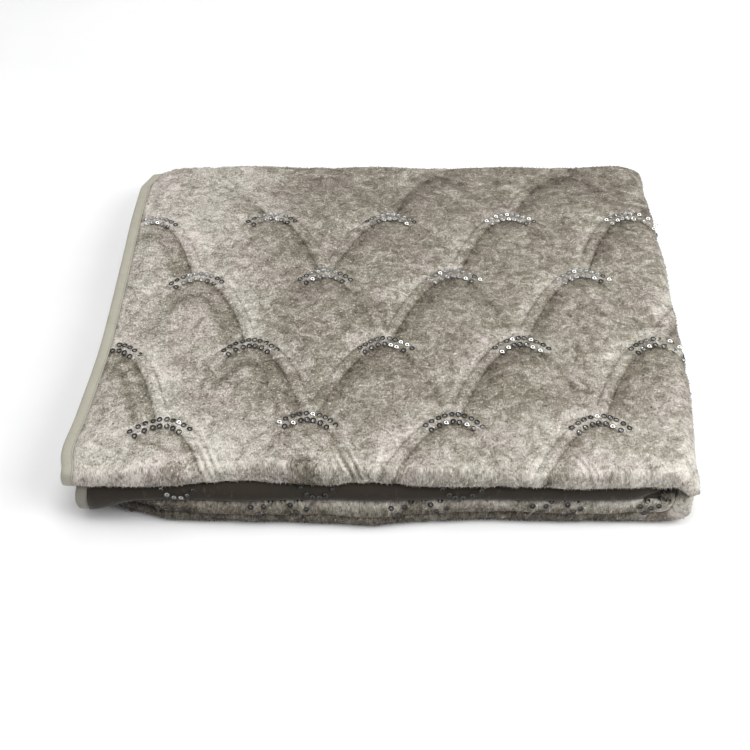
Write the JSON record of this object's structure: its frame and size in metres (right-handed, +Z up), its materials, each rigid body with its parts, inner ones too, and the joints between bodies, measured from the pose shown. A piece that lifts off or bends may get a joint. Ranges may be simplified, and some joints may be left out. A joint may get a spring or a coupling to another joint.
{
  "type": "throw blanket",
  "caption": "Scallop-quilted velvet throw with a satin binding, folded lengthways and widthways into a flat pack",
  "frame": {"origin": "centre of the folded throw's outer box, on the surface it rests on", "axes": "+X along the folded front, away from the bound ends; +Y from the front to the back; +Z up"},
  "size_m": [0.5232, 0.415, 0.0526],
  "materials": {
    "velvet": "silver-taupe crushed velvet, quilted, with a mottled pile",
    "satin_binding": "smooth pale sage-cream satin tape"
  },
  "bodies": {
    "root": {"quilted_cloth": "velvet", "binding_top": "satin_binding", "binding_lower": "satin_binding"}
  },
  "joints": []
}
